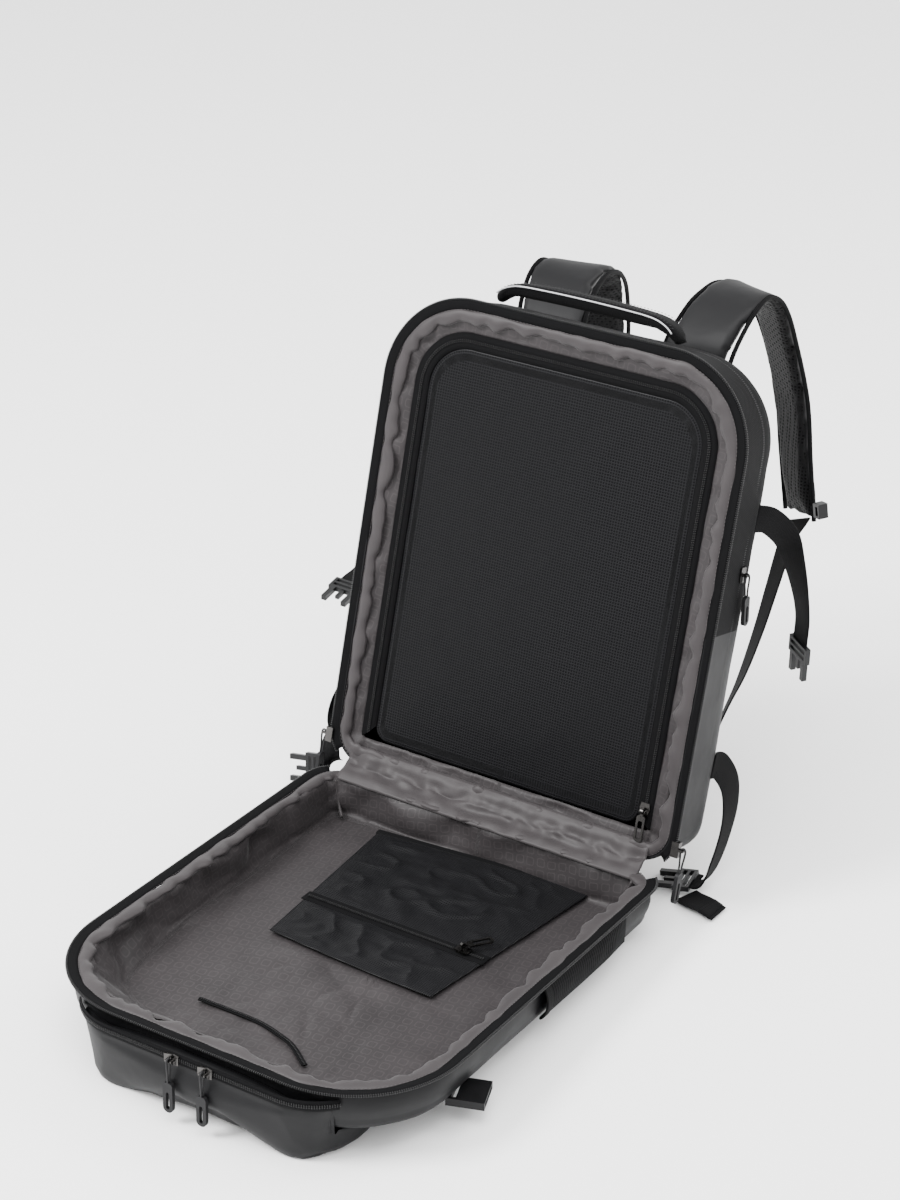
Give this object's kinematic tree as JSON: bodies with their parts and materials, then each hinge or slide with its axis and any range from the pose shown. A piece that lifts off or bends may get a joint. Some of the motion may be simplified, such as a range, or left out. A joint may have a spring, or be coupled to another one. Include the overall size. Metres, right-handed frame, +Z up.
{
  "type": "travel backpack",
  "caption": "Clamshell travel backpack, unzipped and opened flat like a case: padded back half with mesh divider and shoulder straps, hinged lid with mesh pocket, zips and buckled straps.",
  "frame": {"origin": "on the floor, at the middle of the lid's resting face, 250 mm in front of the hinge line", "axes": "+X across the bag to its right as it faces the viewer, +Y from the lid towards the back half, +Z up"},
  "size_m": [0.4612, 0.8365, 0.5009],
  "materials": {
    "shell_fabric": "matte",
    "coated_fabric": "satin",
    "taupe_lining": "matte",
    "taupe_binding": "matte",
    "black_mesh": "matte",
    "stretch_fabric": "matte",
    "strap_fabric": "satin",
    "sleeve_fabric": "matte",
    "handle_fabric": "matte",
    "reflective_piping": "gloss",
    "webbing": "matte",
    "zip_coil": "satin",
    "buckle_plastic": "satin",
    "gunmetal": "satin",
    "pull_rubber": "matte",
    "pull_cord": "matte"
  },
  "bodies": {
    "back_half": {"back_shell_upper": "shell_fabric", "back_shell_lower": "coated_fabric", "back_binding": "taupe_binding", "main_zip_back": "zip_coil", "back_lining": "taupe_lining", "divider_zip": "zip_coil", "divider_mesh": "black_mesh", "laptop_sleeve": "sleeve_fabric", "laptop_zip": "zip_coil", "back_pads": "black_mesh", "shoulder_yoke": "shell_fabric", "hinge_gusset": "handle_fabric"},
    "lid": {"lid_shell": "coated_fabric", "lid_lining": "taupe_lining", "lid_binding": "taupe_binding", "main_zip_lid": "zip_coil", "front_pocket": "shell_fabric", "front_pocket_zip": "zip_coil", "mesh_pocket": "black_mesh", "mesh_pocket_zip": "zip_coil", "inner_pocket_zip": "zip_coil", "bottle_pockets": "stretch_fabric", "female_buckles": "buckle_plastic", "buckle_tabs": "webbing"},
    "carry_handle": {"handle_grip": "handle_fabric", "handle_piping": "reflective_piping"},
    "shoulder_strap_right": {"shoulder_strap_right": "strap_fabric", "shoulder_webbing_right": "webbing"},
    "sternum_slider_right": {"sternum_slider_right": "buckle_plastic"},
    "shoulder_strap_left": {"shoulder_strap_left": "strap_fabric", "shoulder_webbing_left": "webbing"},
    "sternum_slider_left": {"sternum_slider_left": "buckle_plastic"},
    "compression_upper_right": {"compression_strap_upper_right": "webbing", "male_buckle_upper_right": "buckle_plastic"},
    "compression_upper_left": {"compression_strap_upper_left": "webbing", "male_buckle_upper_left": "buckle_plastic"},
    "compression_lower_right": {"compression_strap_lower_right": "webbing", "male_buckle_lower_right": "buckle_plastic"},
    "compression_lower_left": {"compression_strap_lower_left": "webbing", "male_buckle_lower_left": "buckle_plastic"},
    "zip_main_right": {"slider_main_right": "gunmetal"},
    "pull_main_right": {"cord_main_right": "pull_cord", "pull_main_right": "pull_rubber"},
    "zip_main_left": {"slider_main_left": "gunmetal"},
    "pull_main_left": {"cord_main_left": "pull_cord", "pull_main_left": "pull_rubber"},
    "zip_laptop": {"slider_laptop": "gunmetal"},
    "pull_laptop": {"cord_laptop": "pull_cord", "pull_laptop": "pull_rubber"},
    "zip_divider": {"slider_divider": "gunmetal"},
    "pull_divider": {"pull_divider": "gunmetal"},
    "zip_front_left": {"slider_front_left": "gunmetal"},
    "pull_front_left": {"cord_front_left": "pull_cord", "pull_front_left": "pull_rubber"},
    "zip_front_right": {"slider_front_right": "gunmetal"},
    "pull_front_right": {"cord_front_right": "pull_cord", "pull_front_right": "pull_rubber"},
    "zip_mesh": {"slider_mesh": "gunmetal"},
    "pull_mesh": {"pull_mesh": "gunmetal"}
  },
  "joints": [
    {"name": "lid_hinge", "type": "hinge", "parent": "back_half", "child": "lid", "pos_m": [0, 0.25, 0.052], "axis": [-1, 0, 0], "range_deg": [-76, 103.7]},
    {"name": "handle_fold", "type": "hinge", "parent": "back_half", "child": "carry_handle", "pos_m": [0, 0.40465, 0.47396], "axis": [1, 0, 0], "range_deg": [-30, 30]},
    {"name": "shoulder_strap_right_swing", "type": "hinge", "parent": "back_half", "child": "shoulder_strap_right", "pos_m": [0.075, 0.46072, 0.4188], "axis": [1, 0, 0], "range_deg": [-8, 8], "deforming": ["shoulder_webbing_right"]},
    {"name": "sternum_slide_right", "type": "slide", "parent": "shoulder_strap_right", "child": "sternum_slider_right", "axis": [-0.1692, 0.0758, 0.9827], "range_m": [0, 0.07]},
    {"name": "shoulder_strap_left_swing", "type": "hinge", "parent": "back_half", "child": "shoulder_strap_left", "pos_m": [-0.075, 0.46072, 0.4188], "axis": [1, 0, 0], "range_deg": [-8, 8], "deforming": ["shoulder_webbing_left"]},
    {"name": "sternum_slide_left", "type": "slide", "parent": "shoulder_strap_left", "child": "sternum_slider_left", "axis": [0.1692, 0.0758, 0.9827], "range_m": [0, 0.07]},
    {"name": "compression_upper_right_swing", "type": "hinge", "parent": "back_half", "child": "compression_upper_right", "pos_m": [0.176, 0.39352, 0.33614], "axis": [0, -0.2807, -0.9598], "range_deg": [-10, 30]},
    {"name": "compression_upper_left_swing", "type": "hinge", "parent": "back_half", "child": "compression_upper_left", "pos_m": [-0.176, 0.39352, 0.33614], "axis": [0, 0.2807, 0.9598], "range_deg": [-10, 30]},
    {"name": "compression_lower_right_swing", "type": "hinge", "parent": "back_half", "child": "compression_lower_right", "pos_m": [0.176, 0.3394, 0.11546], "axis": [0, -0.2807, -0.9598], "range_deg": [0, 12]},
    {"name": "compression_lower_left_swing", "type": "hinge", "parent": "back_half", "child": "compression_lower_left", "pos_m": [-0.176, 0.3394, 0.11546], "axis": [0, 0.2807, 0.9598], "range_deg": [-6, 4]},
    {"name": "zip_main_right_slide", "type": "slide", "parent": "back_half", "child": "zip_main_right", "axis": [0, 0.2807, 0.9598], "range_m": [0, 0.33]},
    {"name": "pull_main_right_swing", "type": "hinge", "parent": "zip_main_right", "child": "pull_main_right", "pos_m": [0.1904, 0.25944, 0.07216], "axis": [0, 0.9598, -0.2807], "range_deg": [-95, 0]},
    {"name": "zip_main_left_slide", "type": "slide", "parent": "back_half", "child": "zip_main_left", "axis": [0, 0.2807, 0.9598], "range_m": [0, 0.33]},
    {"name": "pull_main_left_swing", "type": "hinge", "parent": "zip_main_left", "child": "pull_main_left", "pos_m": [-0.1904, 0.25944, 0.07216], "axis": [0, -0.9598, 0.2807], "range_deg": [-95, 0]},
    {"name": "zip_laptop_slide", "type": "slide", "parent": "back_half", "child": "zip_laptop", "axis": [0, 0.2807, 0.9598], "range_m": [-0.15, 0.03]},
    {"name": "pull_laptop_swing", "type": "hinge", "parent": "zip_laptop", "child": "pull_laptop", "pos_m": [0.183, 0.37113, 0.29164], "axis": [0, 1, 0], "range_deg": [-95, 0]},
    {"name": "zip_divider_slide", "type": "slide", "parent": "back_half", "child": "zip_divider", "axis": [0, 0.2807, 0.9598], "range_m": [0, 0.28]},
    {"name": "pull_divider_swing", "type": "hinge", "parent": "zip_divider", "child": "pull_divider", "pos_m": [0.1458, 0.26483, 0.09559], "axis": [1, 0, 0], "range_deg": [-95, 0]},
    {"name": "zip_front_left_slide", "type": "slide", "parent": "lid", "child": "zip_front_left", "axis": [-1, 0, 0], "range_m": [0, 0.05]},
    {"name": "pull_front_left_swing", "type": "hinge", "parent": "zip_front_left", "child": "pull_front_left", "pos_m": [-0.016, -0.20716, 0.05875], "axis": [1, 0, 0], "range_deg": [-95, 0]},
    {"name": "zip_front_right_slide", "type": "slide", "parent": "lid", "child": "zip_front_right", "axis": [1, 0, 0], "range_m": [0, 0.05]},
    {"name": "pull_front_right_swing", "type": "hinge", "parent": "zip_front_right", "child": "pull_front_right", "pos_m": [0.017, -0.20716, 0.05875], "axis": [1, 0, 0], "range_deg": [-95, 0]},
    {"name": "zip_mesh_slide", "type": "slide", "parent": "lid", "child": "zip_mesh", "axis": [-1, 0, 0], "range_m": [0, 0.15]},
    {"name": "pull_mesh_swing", "type": "hinge", "parent": "zip_mesh", "child": "pull_mesh", "pos_m": [0.074, 0.08491, 0.03167], "axis": [-0.8192, 0.573, -0.026], "range_deg": [-95, 0]}
  ]
}
